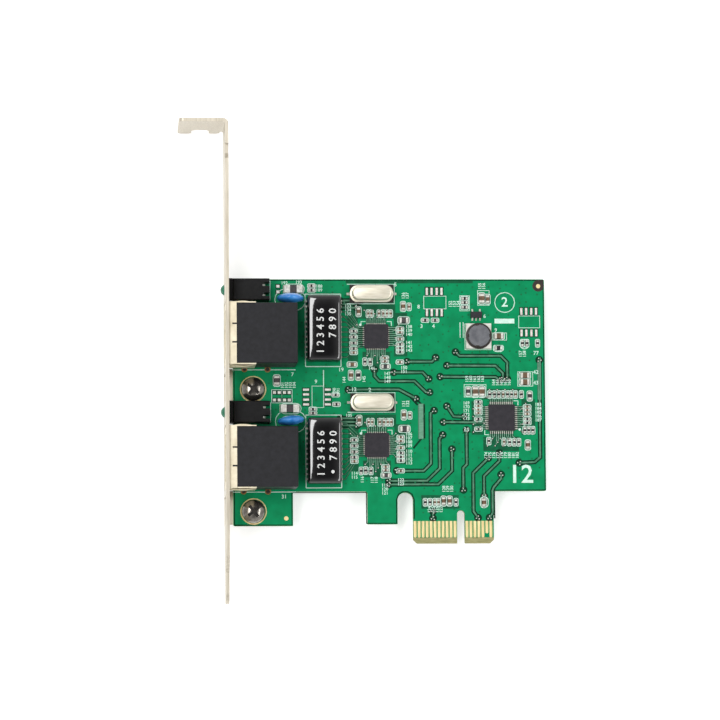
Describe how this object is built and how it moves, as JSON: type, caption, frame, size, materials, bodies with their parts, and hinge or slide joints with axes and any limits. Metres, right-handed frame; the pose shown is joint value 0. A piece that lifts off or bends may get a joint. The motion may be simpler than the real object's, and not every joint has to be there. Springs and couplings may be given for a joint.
{
  "type": "network interface card",
  "caption": "Network interface card: a notched circuit board with modular jacks, transformers and an edge connector, screwed to the ears of a full-height folded steel slot bracket.",
  "frame": {"origin": "middle of the key notch, on the bottom edge of the edge connector, at the surface of the component side", "axes": "+X along the card away from the bracket, +Y up the card away from the slot, +Z out of the component side; the card lies flat with its solder side down"},
  "size_m": [0.092, 0.12, 0.0216],
  "materials": {
    "board": "solder-masked glass fibre laminate",
    "gold": "gold plated copper",
    "bracket": "plated steel sheet",
    "screw": "plated steel",
    "jack": "moulded",
    "shield": "tinned sheet",
    "contact_wire": "gold plated wire",
    "lamp_holder": "moulded",
    "lamp": "tinted clear epoxy",
    "lead": "tinned",
    "disc_capacitor": "dipped epoxy",
    "transformer": "potted epoxy",
    "can": "drawn nickel silver",
    "crystal_base": "moulded",
    "chip": "moulded epoxy",
    "ferrite": "sintered",
    "winding": "enamelled copper wire",
    "inductor_base": "moulded",
    "capacitor": "sintered",
    "resistor": "glazed",
    "bead": "sintered",
    "terminal": "tinned"
  },
  "bodies": {
    "root": {"circuit_board": "board", "edge_contacts_front": "gold", "edge_contacts_back": "gold", "mounting_bracket": "bracket", "bracket_screw_lower": "screw", "bracket_screw_upper": "screw", "jack_housing_lower": "jack", "jack_housing_upper": "jack", "jack_shield_lower": "shield", "jack_shield_upper": "shield", "jack_contacts_lower": "contact_wire", "jack_contacts_upper": "contact_wire", "lamp_holder_lower": "lamp_holder", "lamp_holder_upper": "lamp_holder", "lamp_lower": "lamp", "lamp_upper": "lamp", "lamp_leads_lower": "lead", "lamp_leads_upper": "lead", "disc_capacitor_lower": "disc_capacitor", "disc_capacitor_upper": "disc_capacitor", "disc_capacitor_leads_lower": "lead", "disc_capacitor_leads_upper": "lead", "line_transformer_lower": "transformer", "line_transformer_upper": "transformer", "transformer_leads_lower": "lead", "transformer_leads_upper": "lead", "crystal_can_lower": "can", "crystal_can_upper": "can", "crystal_base_lower": "crystal_base", "crystal_base_upper": "crystal_base", "crystal_leads_lower": "lead", "crystal_leads_upper": "lead", "controller_chip_lower": "chip", "controller_chip_upper": "chip", "controller_pads_lower": "lead", "controller_pads_upper": "lead", "switch_chip": "chip", "switch_pads": "lead", "inductor_base": "inductor_base", "inductor_core": "ferrite", "inductor_winding": "winding", "inductor_terminals": "lead", "regulator_body": "chip", "regulator_leads": "lead", "capacitor_bodies": "capacitor", "resistor_bodies": "resistor", "bead_bodies": "bead", "surge_chip_bodies": "bead", "capacitor_terminals": "terminal", "resistor_terminals": "terminal", "bead_terminals": "terminal", "surge_chip_terminals": "terminal"}
  },
  "joints": []
}
